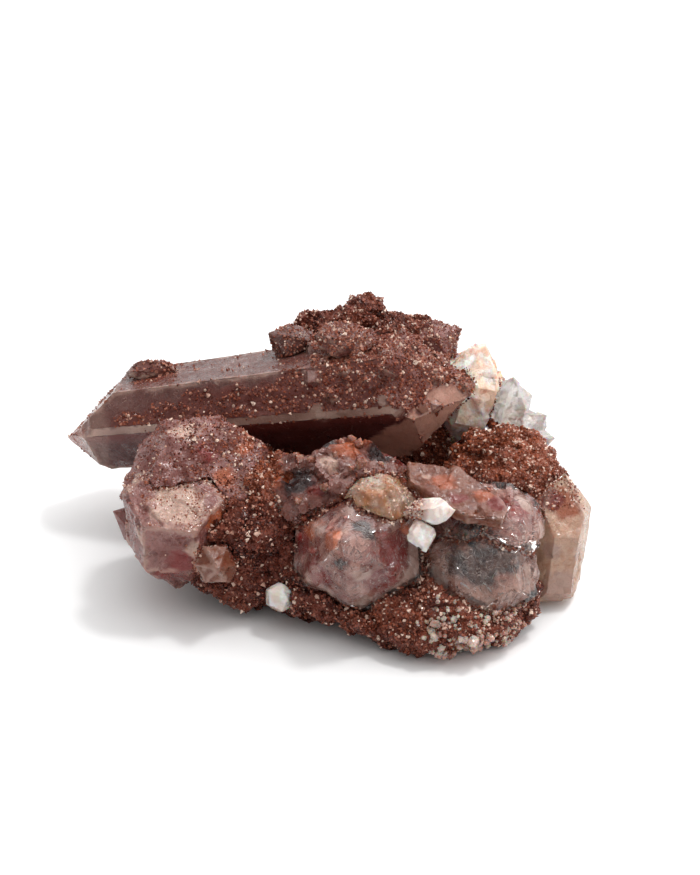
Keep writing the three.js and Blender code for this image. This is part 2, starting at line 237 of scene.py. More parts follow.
def make_veils():
    group, recipe, given, result = new_group(
        "veils", [("Size", NUMBER, 0.004)], ["Soft", "Wisps", "Specks", "Arcs"]
    )
    place = recipe.vectors("DIVIDE", recipe.place(), given["Size"])
    soft = recipe.cloud(1.0, 3, 0.5, 0.6, place)
    wisps = recipe.cloud(2.6, 6, 0.65, 1.8, place)
    specks = recipe.cloud(14.0, 3, 0.6, 0.0, place)
    bent = recipe.cloud(0.8, 2, 0.5, 2.5, place)
    recipe.feed(result["Soft"], recipe.ramp(soft, 0.35, 0.65))
    recipe.feed(result["Wisps"], recipe.ramp(wisps, 0.5, 0.62))
    recipe.feed(result["Specks"], recipe.ramp(specks, 0.6, 0.7))
    from_line = recipe.maths("ABSOLUTE", recipe.maths("SUBTRACT", bent, 0.5))
    line = recipe.maths("SUBTRACT", 1.0, recipe.ramp(from_line, 0.002, 0.014))
    recipe.feed(result["Arcs"], recipe.times(line, recipe.ramp(wisps, 0.48, 0.56)))
    return group


def make_facets():
    group, recipe, given, result = new_group(
        "facets", [("Size", NUMBER, 0.0003), ("Slope", NUMBER, 0.5)], ["Height"]
    )
    place = recipe.place()
    cells = recipe.add("ShaderNodeTexVoronoi", Vector=place, Scale=recipe.maths("DIVIDE", 1.0, given["Size"]))
    lean = recipe.vectors("SUBTRACT", cells.outputs["Color"], (0.5, 0.5, 0.5))
    out = recipe.vectors("SUBTRACT", place, cells.outputs["Position"])
    recipe.feed(result["Height"], recipe.times(recipe.dot(out, lean), given["Slope"], 2.0))
    return group


GROWTH_LINES = make_growth_lines()
VEILS = make_veils()
FACETS = make_facets()
print("node groups", [g.name for g in bpy.data.node_groups])


def growth_height(recipe, axis, spacing, depth):
    made = recipe.add("ShaderNodeGroup", {"node_tree": GROWTH_LINES}, Axis=axis, Spacing=spacing * MM)
    return recipe.times(made.outputs["Height"], depth * MM)


def veils(recipe, size):
    return recipe.add("ShaderNodeGroup", {"node_tree": VEILS}, Size=size * MM).outputs


def facets(recipe, size, slope):
    made = recipe.add("ShaderNodeGroup", {"node_tree": FACETS}, Size=size * MM, Slope=slope)
    return made.outputs["Height"]


# %% [markdown]
# Druse is a carpet of tiny quartz crystals. Each reflects the light its own way, so it glitters.
# Every grain carries two stored values: tint, how pale it is, and rust, how orange the place is.
# Most grains are dark to mid red-brown from hematite and some are peach. The palest, near white,
# are painted glints, and on the cream and white crystals also paler grains.
# The rock under the druse is mostly hidden. It is the same iron-stained quartz in a darker mass,
# and its skin has the same small facets, so that no bare plastic shows between the grains.

# %% Materials of the druse grains and the rock
def make_druse():
    material, recipe, skin, _ = new_material("druse_grains")
    tint = recipe.stored("tint")
    # The near-white coat at the top of the tint is a painted glint, and on the cream and white crystals also
    # the pale colour of the grains.
    colour = recipe.coats(
        (84, 34, 25),
        (recipe.ramp(tint, 0.0, 0.55), 1, (138, 72, 56)),
        (recipe.times(recipe.stored("rust"), recipe.ramp(tint, 0.0, 0.5)), 0.8, (186, 98, 60)),
        (recipe.ramp(tint, 0.5, 0.8), 1, (180, 118, 97)),
        (recipe.ramp(tint, 0.8, 1.0), 1, (255, 226, 206)),
    )
    normal = recipe.bump(facets(recipe, 0.22, 0.6))
    recipe.give(skin, Base_Color=colour, Roughness=0.1, IOR=1.54, Normal=normal, Specular_IOR_Level=0.3)
    return material


def make_rock():
    material, recipe, skin, _ = new_material("rock")
    wisps = veils(recipe, 3.5)
    colour = recipe.coats(
        (62, 24, 19),
        (wisps["Soft"], 1, (118, 60, 46)),
        (recipe.stored("rust"), 0.6, (150, 78, 50)),
        (wisps["Specks"], 0.5, (190, 132, 112)),
    )
    rough = recipe.plus(0.16, recipe.times(wisps["Soft"], 0.2))
    normal = recipe.bump(facets(recipe, 0.4, 0.9), recipe.hills(1.5, 0.2))
    recipe.give(skin, Base_Color=colour, Roughness=rough, Normal=normal, Specular_IOR_Level=0.3)
    return material


DRUSE = make_druse()
ROCK = make_rock()

# %% [markdown]
# The large crystals are quartz full of hematite dust and milky veils. One recipe makes them all.
# It starts from three colours that the veils blend. Then come the places that the photograph
# shows: where stored values say crust, dark, orange, red or pale, the colour goes that way. The
# values are stored on the mesh further down, crystal by crystal. The crust is also duller. Growth
# lines, small facets and chips make the surface.

# %% Recipe of the included quartz
PATCH_COLOURS = {
    "orange": (178, 92, 56),
    "red": (128, 34, 30),
    "dark": (38, 24, 25),
    "pale": (206, 170, 154),
    "crust": (110, 50, 39),
}


def make_included(name, axis, milk, stain, deep, through=0.12, chip=0.25):
    """Through is how much light the quartz lets pass, and chip how steep its small faces are."""
    material, recipe, skin, _ = new_material(name)
    wisps = veils(recipe, 5)
    fine = veils(recipe, 1.6)
    colour = recipe.coats(
        milk,
        (wisps["Soft"], 0.75, stain),
        (wisps["Wisps"], 0.5, deep),
        (fine["Wisps"], 0.35, stain),
        (fine["Specks"], 0.35, (206, 164, 146)),
        (wisps["Arcs"], 0.4, (214, 180, 166)),
        *[(recipe.stored(patch), 0.9, patch_colour) for patch, patch_colour in PATCH_COLOURS.items()],
    )
    normal = recipe.bump(
        facets(recipe, 1.1, chip), facets(recipe, 0.3, chip), recipe.hills(0.9, 0.08),
        growth_height(recipe, axis, 0.7, 0.03),
    )
    rough = recipe.plus(0.1, recipe.times(wisps["Soft"], 0.12), recipe.times(recipe.stored("crust"), 0.25))
    recipe.give(skin, Base_Color=colour, Roughness=rough, IOR=1.54, Normal=normal)
    recipe.give(skin, Transmission_Weight=through, Specular_IOR_Level=0.4)
    recipe.give(skin, Subsurface_Weight=0.2, Subsurface_Scale=0.0012)
    return material


LONG_AXIS = Vector((53, -10, 10.8)).normalized()
MAUVE_LONG = make_included(
    "mauve_long", LONG_AXIS, milk=(120, 83, 77), stain=(98, 57, 51), deep=(82, 38, 32), chip=0.12
)
MAUVE_LEFT = make_included(
    "mauve_left", Vector((0, -0.1, 0.99)), milk=(152, 104, 98), stain=(124, 68, 62), deep=(96, 34, 30)
)
RUST_FACE = make_included(
    "rust_quartz", Vector((0.15, -0.8, 0.35)),
    milk=(136, 80, 58), stain=(118, 58, 38), deep=(98, 36, 26), through=0.25, chip=0.12,
)
BROKEN_FACE = make_included(
    "broken_quartz", Vector((0.3, -0.5, 0.8)),
    milk=(138, 92, 82), stain=(116, 60, 50), deep=(92, 50, 46), through=0.2,
)
HONEY = make_included(
    "honey_quartz", Vector((0.1, 0.12, 0.98)),
    milk=(236, 204, 180), stain=(220, 172, 142), deep=(194, 132, 100), through=0.4, chip=0.2,
)

# %% [markdown]
# Cream and white quartz are full of tiny cracks that scatter the light, so much of their colour
# comes from under the surface. Watery quartz, for the clear points at the back, lets most light
# through. All of them sparkle on small broken faces, and rust sits in their crust.

# %% Materials of the cream and white quartz
def make_pale(name, light, warm, through, crust=(168, 112, 92)):
    material, recipe, skin, _ = new_material(name)
    wisps = veils(recipe, 2.6)
    colour = recipe.coats(
        light,
        (wisps["Soft"], 1, warm),
        (wisps["Wisps"], 0.4, warm),
        (wisps["Specks"], 0.7, (250, 244, 238)),
        (recipe.stored("crust"), 0.8, crust),
    )
    normal = recipe.bump(facets(recipe, 1.1, 0.3), facets(recipe, 0.35, 0.2), recipe.hills(0.9, 0.05))
    recipe.give(skin, Base_Color=colour, Roughness=0.08, IOR=1.54, Normal=normal)
    recipe.give(skin, Transmission_Weight=through, Subsurface_Weight=0.5, Subsurface_Scale=0.002)
    return material


CREAM = make_pale("cream_quartz", (238, 214, 196), (206, 156, 124), 0.5, (214, 140, 84))
MILKY = make_pale("milky_quartz", (255, 248, 240), (250, 208, 182), 0.06)
WHITE = make_pale("white_quartz", (252, 250, 248), (244, 226, 216), 0.15, (196, 160, 146))
WATERY = make_pale("watery_quartz", (255, 254, 252), (250, 240, 232), 0.6)
FLAKES = make_pale("bright_flakes", (255, 250, 246), (236, 206, 194), 0.3)
PINK_CRYSTALS = make_pale("pink_crystals", (246, 214, 200), (200, 138, 120), 0.35)
CLEAR_CHIPS = make_pale("clear_chips", (196, 142, 120), (150, 84, 62), 0.4)

# %% [markdown]
# Clear quartz is glass to a shader: nearly full transmission, an index of 1.544 and a little
# absorption, set as plain values. What gives it depth is inside: the phantom, an older crystal
# that iron coated before the clear quartz grew over it. It is a mesh of its own, inside the clear
# one. Light reaches it only through the glass, so its colours are set lighter than they look from
# outside. Bright specks and arcs in it stand for the cracks that catch the light.

# %% Materials of the clear quartz and its phantom
def make_clear(name, tint, thickness, milk, ripples=None):
    """Thickness in mm is where the tint shows in full. Ripples is the middle in mm of a shell-shaped
    break, whose rings show in the glass."""
    material, recipe, skin, output = new_material(name)
    heights = [facets(recipe, 1.8, 0.06), recipe.hills(1.6, 0.03), recipe.hills(0.4, 0.006)]
    if ripples:
        centred = recipe.add("ShaderNodeMapping", Vector=recipe.place(), Location=-Vector(ripples) * MM)
        rings = recipe.add(
            "ShaderNodeTexWave", {"wave_type": "RINGS", "rings_direction": "SPHERICAL"},
            Vector=centred.outputs["Vector"], Scale=0.28 / MM, Distortion=5.0, Detail=3.0, Detail_Scale=1.5,
        )
        heights.append(recipe.times(rings.outputs["Fac"], 0.1 * MM))
    colour = recipe.coats((255, 250, 246), (veils(recipe, 2.4)["Wisps"], 0.6, milk))
    recipe.give(skin, Base_Color=colour, Roughness=0.04, IOR=1.544, Normal=recipe.bump(*heights))
    recipe.give(skin, Transmission_Weight=0.98, Specular_IOR_Level=0.35)
    absorb = recipe.add("ShaderNodeVolumeAbsorption", Color=tint, Density=1 / (thickness * MM))
    recipe.feed(output.inputs["Volume"], absorb.outputs["Volume"])
    return material


PHANTOM_PATCHES = {
    "orange": (214, 116, 74),
    "red": (150, 36, 34),
    "pale": (226, 196, 184),
    "dark": (40, 24, 27),
}
BRIGHT_ARC = (250, 232, 224)


def make_phantom(name, light, red, deep):
    material, recipe, skin, _ = new_material(name)
    wisps = veils(recipe, 3.4)
    fine = veils(recipe, 1.3)
    cover = recipe.plus(0.75, recipe.times(wisps["Soft"], 0.2))
    colour = recipe.coats(
        light,
        (wisps["Soft"], 1, red),
        (wisps["Wisps"], 0.7, deep),
        (fine["Wisps"], 0.45, light),
        *[(recipe.stored(patch), cover, patch_colour) for patch, patch_colour in PHANTOM_PATCHES.items()],
        (fine["Specks"], 0.5, (240, 206, 190)),
        (fine["Arcs"], 0.5, BRIGHT_ARC),
        (wisps["Arcs"], 0.8, BRIGHT_ARC),
    )
    normal = recipe.bump(facets(recipe, 1.2, 0.3), recipe.hills(1.1, 0.08))
    recipe.give(skin, Base_Color=colour, Roughness=0.25, Normal=normal)
    return material


CLEAR = make_clear("clear_quartz", (240, 218, 208), 40, (238, 190, 176))
SMOKY = make_clear("smoky_quartz", (206, 190, 186), 30, (226, 180, 168), ripples=(20.5, -25, 12))
PHANTOM = make_phantom("red_phantom", (206, 158, 146), (146, 62, 54), (88, 26, 26))
SMOKE_CORE = make_phantom("smoky_core", (214, 170, 154), (158, 96, 82), (102, 46, 40))
print("materials", len(bpy.data.materials))

# %% [markdown]
# A CAD solid is loose triangles. Its copy is merged into one skin, its flat faces are made whole,
# its edges are bevelled, since no crystal edge is knife-sharp after handling, and then it is cut
# finer so that noise can move it: growth leaves low hills on the faces.

# %% Copies of the CAD solids
def cad_copy(node):
    bm = bmesh.new()
    bm.from_mesh(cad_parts[node].data)
    bmesh.ops.remove_doubles(bm, verts=bm.verts, dist=0.002 * MM)
    bmesh.ops.dissolve_limit(
        bm, angle_limit=math.radians(2), verts=bm.verts, edges=bm.edges, delimit={"NORMAL"}
    )
    return bm


def bevel_edges(bm, width):
    edges = [e for e in bm.edges if e.is_manifold and e.calc_face_angle() > math.radians(12)]
    bmesh.ops.bevel(
        bm, geom=edges, offset=width * MM, segments=2, profile=0.5, affect="EDGES", material=-1,
        clamp_overlap=True,
    )


def cut_finer(bm, longest):
    bmesh.ops.triangulate(bm, faces=bm.faces)
    for _ in range(7):
        edges = [e for e in bm.edges if e.calc_length() > longest * MM]
        if not edges:
            break
        bmesh.ops.subdivide_edges(bm, edges=edges, cuts=1)
        bmesh.ops.triangulate(bm, faces=bm.faces)


def move_out(bm, move_of):
    """Moves all vertices at once, each by what move_of gave before any had moved."""
    bm.normal_update()
    moves = [move_of(v) for v in bm.verts]
    for v, move in zip(bm.verts, moves):
        v.co += move


def roughen(bm, depth, size, seed):
    """Low hills: depth and size in mm."""
    offset = Vector((seed, 2 * seed, 3 * seed))

    def hill(v):
        return v.normal * noise.fractal(v.co / (size * MM) + offset, 0.8, 2.0, 3) * (depth * MM)

    move_out(bm, hill)


def break_up(bm, slope, size, seed):
    """Turns the skin into broken flats: each cell of it, of a size in mm, leans its own way."""
    offset = Vector((seed, seed, seed))

    def flat(v):
        place = v.co / (size * MM) + offset
        middle = noise.voronoi(place)[1][0]
        lean = noise.cell_vector(middle * 9.7) - Vector((0.5, 0.5, 0.5))
        return v.normal * (place - middle).dot(lean) * slope * (size * MM)

    move_out(bm, flat)


def finish_piece(name, bm, material, nodes=(), sharp=28):
    """Edges sharper than an angle in degrees stay sharp."""
    for v in bm.verts:
        v.co.z = max(v.co.z, 0.0)
    mesh = bpy.data.meshes.new(name)
    bm.to_mesh(mesh)
    bm.free()
    mesh.shade_smooth()
    mesh.set_sharp_from_angle(angle=math.radians(sharp))
    mesh.materials.append(material)
    piece = new_object(name, mesh)
    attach(piece, "root")
    if nodes:
        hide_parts(*nodes)
    print(name, len(mesh.polygons), "faces")
    return piece


def dress(node, material, seed, bevel=0.2, hills=(0.08, 2.5), broken=None, finer=0.8,
                    sharp=28, first=None):
    """Hills are a depth and a size, broken faces a slope and a size. First works on the plain copy."""
    bm = cad_copy(node)
    if first:
        first(bm)
    bevel_edges(bm, bevel)
    cut_finer(bm, finer)
    if broken:
        break_up(bm, *broken, seed)
    roughen(bm, *hills, seed)
    return finish_piece(node + "_skin", bm, material, [node], sharp)


# %% [markdown]
# Stains, clear windows and druse crusts lie at certain places of a crystal. A patch is a place and
# a radius in mm; its edge wanders, as a real stain does. What a patch covers is stored on the mesh
# by name, and the recipe of the quartz reads it. Pale lines along the edges of a crystal are
# painted highlights, where the edges catch the light.

# %% Places in numbers
def mesh_arrays(mesh):
    """Places in mm and normals of a mesh's vertices, as arrays."""
    places = np.empty(len(mesh.vertices) * 3, np.float32)
    mesh.vertices.foreach_get("co", places)
    normals = np.empty(len(mesh.vertices) * 3, np.float32)
    mesh.vertex_normals.foreach_get("vector", normals)
    return places.reshape(-1, 3) / MM, normals.reshape(-1, 3)


def store(mesh, name, values):
    layer = mesh.attributes.new(name, "FLOAT", "POINT")
    layer.data.foreach_set("value", np.asarray(values, np.float32))


def ease(low, high, value):
    """Goes gently from 0 to 1 while the value goes from low to high."""
    t = np.clip((value - low) / (high - low), 0, 1)
    return t * t * (3 - 2 * t)


def wander(places, size, seed):
    return np.array([noise.noise(Vector(p) / size + Vector((seed, seed, seed))) for p in places])


def patch_cover(places, patches, seed=1):
    edge = 0.35 * wander(places, 1.6, seed) + 0.2 * wander(places, 0.6, seed + 1)
    cover = np.zeros(len(places))
    for *middle, radius in patches:
        far = np.linalg.norm(places - np.array(middle), axis=1) / radius
        cover = np.maximum(cover, 1 - ease(0.7, 1.15, far + edge))
    return cover


def stain(piece, **patches):
    places, _ = mesh_arrays(piece.data)
    for seed, (name, spots) in enumerate(patches.items()):
        store(piece.data, name, patch_cover(places, spots, seed + 3))


def add_to(piece, name, values):
    """Adds to a stored value: the larger of the two stays."""
    layers = piece.data.attributes
    layer = layers.get(name) or layers.new(name, "FLOAT", "POINT")
    stored = np.zeros(len(values), np.float32)
    layer.data.foreach_get("value", stored)
    layer.data.foreach_set("value", np.maximum(stored, values).astype(np.float32))


def edge_lines(piece, node, layer_name="pale", width=0.9, strength=0.55, seed=5):
    """A line of another colour along the edges of a crystal, which fades and comes back. In the pale layer it
    is a painted edge highlight, in the crust layer rust.
    """
    bm = cad_copy(node)
    ends = [
        (edge.verts[0].co / MM, edge.verts[1].co / MM)
        for edge in bm.edges
        if edge.is_manifold and edge.calc_face_angle() > math.radians(22)
    ]
    bm.free()
    places, _ = mesh_arrays(piece.data)
    nearest = np.full(len(places), 99.0)
    for first, second in ends:
        first, along = np.array(first), np.array(second - first)
        share = np.clip((places - first) @ along / (along @ along), 0, 1)
        nearest = np.minimum(nearest, np.linalg.norm(places - first - share[:, None] * along, axis=1))
    line = 1 - ease(0.3 * width, width, nearest + 0.5 * wander(places, 1.2, seed))
    fading = ease(-0.35, 0.15, wander(places, 4, seed + 1))
    add_to(piece, layer_name, strength * line * fading)


def face_of(node, towards):
    """The flat face that looks most nearly towards a direction: its normal, and how far out it is."""
    towards = Vector(towards).normalized()
    areas = {}
    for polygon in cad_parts[node].data.polygons:
        if polygon.normal.dot(towards) > 0.96:
            out = round(polygon.normal.dot(polygon.center) / MM, 1)
            key = (tuple(round(v, 2) for v in polygon.normal), out)
            areas[key] = areas.get(key, 0) + polygon.area
    normal, out = max(areas, key=areas.get)
    return np.array(normal), out


# %% [markdown]
# Places on the long crystal are easiest to say in its own directions: along its axis, and by the
# flat faces of its solid. Druse covers its front face and its right half. Four parts are clean: the
# top face at the left with an uneven strip under it, the big end face at the right, the face below
# the front edge, dark red quartz with painted shade that deepens further under the edge, and a
# narrow face cut along that edge, painted pale as a painted highlight. The left tip is rusty.

# %% Faces of the long crystal
LONG_MIDDLE = np.array((16.3, 9.6, 26.8))
FRONT, FRONT_OUT = face_of("long_crystal", (-0.3, -0.79, 0.53))
LOWER, _ = face_of("long_crystal", (-0.12, -0.89, -0.45))
TOP, TOP_OUT = face_of("long_crystal", (-0.22, 0.1, 0.97))
BETWEEN = (FRONT + LOWER) / np.linalg.norm(FRONT + LOWER)
NARROW_DEPTH = 0.4 * MM
print("long crystal faces", FRONT, LOWER, TOP)


def cut_front_edge(bm):
    """Cuts the narrow clean face between the front face and the one below it."""
    bm.normal_update()
    ends = []
    for edge in bm.edges:
        beside = [
            any(face.normal.dot(Vector(side)) > 0.99 for face in edge.link_faces) for side in (FRONT, LOWER)
        ]
        if all(beside):
            ends += [v.co.copy() for v in edge.verts]
    left_end = min(ends, key=lambda place: place.x)
    right_end = max(ends, key=lambda place: place.x)
    along = (right_end - left_end).normalized()
    out = Vector(BETWEEN)
    out = (out - along * out.dot(along)).normalized()
    everything = bm.verts[:] + bm.edges[:] + bm.faces[:]
    bmesh.ops.bisect_plane(
        bm, geom=everything, plane_co=left_end - out * NARROW_DEPTH, plane_no=out, clear_outer=True
    )
    bmesh.ops.holes_fill(bm, edges=[edge for edge in bm.edges if edge.is_boundary])
    bm.normal_update()


def narrow_face(normals):
    return ease(0.93, 0.965, normals @ BETWEEN)


def end_face(places, normals):
    """The clean face at the right end, which also takes in the corner of the front face beside it."""
    x, y, z = places.T
    left_edge = (x - 12.3) * 0.95 - (z - 25.5) + 0.8 * wander(places, 2.5, 3)
    inside = ease(0, 0.7, left_edge) * ease(30.0, 29.0, z) * ease(7.5, 6.0, y)
    return inside * (normals[:, 1] < -0.3)


def long_druse(places, normals):
    """How much druse is at each place on the long crystal, from 0 to 1."""
    along = (places - LONG_MIDDLE) @ np.array(LONG_AXIS)
    from_top = TOP_OUT - places @ TOP
    edge = wander(places, 2.5, 3)
    fine = wander(places, 0.9, 5)
    on_front = ease(0.8, 0.93, normals @ FRONT)
    clean_width = 0.8 + 2.6 * ease(-14, -34, places[:, 0])
    from_clean = from_top - clean_width + 1.8 * edge
    front = on_front * ease(-0.6, 0.6, from_clean) * ease(-52, -49, along)
    lump = patch_cover(places, [(-28, 20, 26.5, 4.5)])
    crust = ease(-19, -14, along + 4 * edge) * ease(-0.3, 0.0, normals[:, 2])
    back = ease(0.1, 0.3, normals[:, 1]) * ease(-0.15, 0.2, fine + edge)
    on_lower = ease(0.9, 0.97, normals @ LOWER)
    clean = np.maximum.reduce([on_lower, end_face(places, normals), narrow_face(normals)])
    return np.clip(np.maximum.reduce([front, crust, back, lump]) * (1 - clean), 0, 1)


# %% The long crystal
def long_crystal():
    piece = dress(
        "long_crystal", MAUVE_LONG, 4, hills=(0.12, 2.5), finer=1.0, first=cut_front_edge
    )
    places, normals = mesh_arrays(piece.data)
    crust = long_druse(places, normals)
    below_edge = FRONT_OUT - places @ FRONT
    strip = narrow_face(normals)
    end = end_face(places, normals)
    on_lower = ease(0.85, 0.96, normals @ LOWER) * (1 - end)
    x = places[:, 0] + 0.8 * wander(places, 1.5, 15)
    rusty_tip = ease(-38.5, -41, x)
    grey_tip = ease(-34.5, -36.5, x) * (1 - rusty_tip)
    # The pale coat on the narrow face along the front edge is painted light: it makes the clean quartz there
    # look lit, though the lamps barely reach it.
    pale_painted_lit_strip = strip * (1 - end) * (0.7 + 0.6 * wander(places, 4, 17))
    store(piece.data, "crust", crust)
    store(piece.data, "orange", np.maximum(0.85 * end, 0.6 * rusty_tip))
    # On the face below the front edge, red is the dark red quartz and painted shade together, and dark is
    # painted shade that deepens further under the front edge.
    store(piece.data, "red", np.maximum(0.55 * on_lower * (1 - strip), 0.5 * rusty_tip))
    store(piece.data, "dark", 0.6 * on_lower * (1 - strip) * ease(0.5, 3.5, below_edge))
    store(piece.data, "pale", np.maximum.reduce([pale_painted_lit_strip, 0.6 * end, 0.25 * grey_tip]))
    lumps = wander(places, 1.3, 9) * 0.3 * crust
    piece.data.vertices.foreach_set("co", ((places + normals * lumps[:, None]) * MM).ravel())
    return piece


long_piece = long_crystal()
edge_lines(long_piece, "long_crystal", width=0.8)

# %% [markdown]
# The other crystals with flat faces are dressed the same way. What differs is the material, the
# bevel, and how hilly and how broken the faces are: the dome crystal is the most overgrown.

# %% The mauve and rust crystals
left_piece = dress(
    "left_crystal", MAUVE_LEFT, 7, bevel=0.4, hills=(0.2, 2.5), broken=(0.3, 4),
    finer=0.5, sharp=18,
)
stain(
    left_piece,
    pale=[(-22, -15, 19.6, 4.6), (-28.5, -18, 15, 1.6), (-29, -17.5, 9, 1.4), (-19.5, -19.5, 14, 1.3)],
    red=[(-21, -19, 11.5, 2.6), (-24, -19, 8, 2.4), (-18, -17.5, 9, 2.2)],
    orange=[(-16.5, -15, 17, 2.2), (-25, -11, 20.5, 1.8)],
)
edge_lines(left_piece, "left_crystal")
dome_piece = dress(
    "dome_crystal", MAUVE_LEFT, 9, bevel=0.9, hills=(0.4, 3), broken=(0.25, 3), finer=0.6
)
stain(
    dome_piece,
    orange=[(-12.5, -5, 25.4, 2.6), (-15, -10, 21, 2.0)],
    dark=[(-20, -9, 22.5, 1.5)],
    crust=[(-20.5, -8.5, 22.5, 3.2), (-27, -6, 22, 2.2), (-15, -4, 25.5, 3.2), (-24, -1, 25.5, 1.8)],
    red=[(-26, -6, 22, 2.0), (-18, -7, 24, 2.0)],
    pale=[(-22, -3, 26, 2.6), (-29, -8, 20, 1.4)],
)
corner_piece = dress(
    "corner_crystal", RUST_FACE, 11, bevel=0.4, hills=(0.3, 2.5), broken=(0.2, 2.2), finer=0.5
)
edge_lines(corner_piece, "corner_crystal", width=0.6)
dress("left_stub", MAUVE_LEFT, 12)
ridge_piece = dress(
    "ridge_crystal", MAUVE_LONG, 13, bevel=0.4, hills=(0.3, 2.5), broken=(0.25, 2.2),
    finer=0.5,
)
dress("back_crystal", MAUVE_LEFT, 14, hills=(0.1, 2.5))
blade_piece = dress(
    "red_blade", RUST_FACE, 15, bevel=0.4, hills=(0.3, 2.2), broken=(0.3, 5), finer=0.4,
    sharp=16,
)
stain(
    blade_piece,
    orange=[(19, -13.5, 22.6, 2.2), (25, -16.5, 22, 1.8)],
    red=[(27, -18.5, 21.5, 1.8), (21, -17.5, 21.5, 1.6)],
    pale=[(16.2, -12.5, 23.5, 0.9), (27.5, -15, 22, 1.0)],
)
edge_lines(blade_piece, "red_blade", width=0.6, strength=0.3)

# %% The honey, cream and white crystals
right_piece = dress(
    "right_crystal", HONEY, 16, bevel=0.3, hills=(0.12, 2.5), broken=(0.12, 5), finer=0.5,
    sharp=18,
)
stain(
    right_piece,
    pale=[(37.5, -14, 3.8, 3.4), (40.5, -12, 9, 1.8), (36, -13.5, 10.5, 1.6)],
    red=[(36, -9.5, 17.5, 2.0), (33, -11, 13, 1.8)],
    orange=[(38.5, -9, 16.5, 2.6)],
)
edge_lines(right_piece, "right_crystal")
cream_piece = dress(
    "cream_crystal", CREAM, 17, bevel=0.3, hills=(0.12, 1.8), broken=(0.4, 3), finer=0.4,
    sharp=16,
)
edge_lines(cream_piece, "cream_crystal", "crust", width=1.4, strength=0.9)
milky_piece = dress(
    "milky_quartz", MILKY, 18, bevel=0.5, hills=(0.2, 3), broken=(0.3, 4), finer=0.6, sharp=18
)
white_pieces = {}
for count, chip in enumerate(["upper_white_chip", "lower_white_chip", "white_bead", "clear_points"]):
    white_pieces[chip] = dress(
        chip, WATERY if chip == "clear_points" else WHITE, 20 + count,
        bevel=0.1, hills=(0.04, 1.2), broken=(0.2, 2.6), finer=0.4, sharp=14,
    )
    stain(white_pieces[chip], crust=[(14.5, -21, 21.8, 2.6), (16.8, -22.5, 17.5, 1.8), (-7, -20, 4, 1.6)])

# %% [markdown]
# The clear crystals get their core first: a copy of the same crystal, drawn in from the clear
# faces, roughened, and stained. On the front crystal it lies closer to the faces at the left, and
# a rim at the right is pale, because no iron dust lies under the clear quartz there.

# %% Clear crystals and what is inside them
def core_inside(node, name, material, shrink, shift, seed):
    """Shrink is towards the middle of the crystal, and shift a move in mm after that."""
    bm = cad_copy(node)
    bevel_edges(bm, 0.15)
    low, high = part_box(node)
    middle = (low + high) / 2
    for v in bm.verts:
        v.co = middle + (v.co - middle) * shrink + Vector(shift) * MM
    cut_finer(bm, 0.5)
    break_up(bm, 0.15, 2.5, seed)
    roughen(bm, 0.1, 1.6, seed)
    return finish_piece(name, bm, material)


def clear_rim(places):
    """The rim at the right and at the lower right of the front crystal."""
    x, _, z = places.T
    from_right = 15 - x
    from_below = 1.24 - (0.66 * x - 0.75 * z)
    rim = np.minimum(from_right, from_below) + 0.5 * wander(places, 1.5, 39)
    return 0.85 * (1 - ease(1.5, 2.0, rim))


front_core = core_inside(
    "front_crystal", "front_phantom", PHANTOM, 0.92, (-0.4, 0.2, 0.3), 31
)
stain(
    front_core,
    orange=[(2.2, -24.5, 19, 2.2), (-1, -18, 17, 2.0), (12.5, -18, 17.5, 1.4)],
    red=[(10.5, -22, 15.2, 3.0), (9, -24, 11.5, 2.4), (0, -23, 12, 2.4), (-2.5, -17, 14, 2.4)],
    pale=[(6.5, -24.5, 7, 2.2), (1.5, -22, 7.5, 2.0), (6, -24.5, 13.5, 1.6)],
    dark=[(6.4, -22.5, 19.5, 1.9), (4, -16, 19, 1.8), (3.5, -25, 15.5, 1.3)],
)
edge_lines(front_core, "front_crystal", width=1.2, strength=0.7)
add_to(front_core, "pale", clear_rim(mesh_arrays(front_core.data)[0]))
front_piece = dress(
    "front_crystal", CLEAR, 32, bevel=0.25, hills=(0.12, 2.5), broken=(0.5, 4.5),
    finer=0.45, sharp=16,
)
smoky_core = core_inside("smoky_crystal", "smoky_core", SMOKE_CORE, 0.9, (0, 0.4, -0.2), 33)
stain(
    smoky_core,
    dark=[(24.5, -23, 13.2, 3.4), (21, -22.5, 13.4, 2.4), (28, -22, 13, 2.2)],
    pale=[(24, -25, 6, 3.0), (18, -21, 10, 2.2), (30.5, -20, 10, 2.0), (20, -20, 17.5, 1.6)],
    red=[(28.5, -20, 17, 1.8), (23, -19, 18, 1.6)],
    orange=[(31, -17, 14.5, 1.6), (27, -24.5, 7.5, 1.2)],
)
edge_lines(smoky_core, "smoky_crystal", width=1.6, strength=0.8)
smoky_piece = dress(
    "smoky_crystal", SMOKY, 34, bevel=0.3, hills=(0.15, 2.5), broken=(0.5, 4),
    finer=0.45, sharp=16,
)
round_core = core_inside("round_quartz", "round_core", PHANTOM, 0.9, (0, 0, -0.4), 35)
stain(
    round_core,
    red=[(21.5, -16, 19, 2.6), (29, -16, 18.5, 2.6)],
    orange=[(25, -13, 20, 2.6)],
    pale=[(31, -14, 19, 1.6), (33, -15, 15, 1.4)],
    dark=[(23, -19, 17.5, 2.4)],
)
dress(
    "round_quartz", CLEAR, 36, hills=(0.15, 3), broken=(0.5, 3.5), finer=0.5, sharp=16
)
chip_piece = dress(
    "smoky_chip", MAUVE_LEFT, 37, hills=(0.25, 2.5), broken=(0.3, 2.2), finer=0.5
)
core_inside("back_point", "back_point_core", SMOKE_CORE, 0.88, (0, -0.3, 0), 39)
dress("back_point", CLEAR, 38)

# %% [markdown]
# The matrix and the broken quartz are rough masses. A voxel remesh turns a solid into an even skin
# of small faces. Voronoi noise then cuts it into knobs, and fractal noise roughens the knobs.

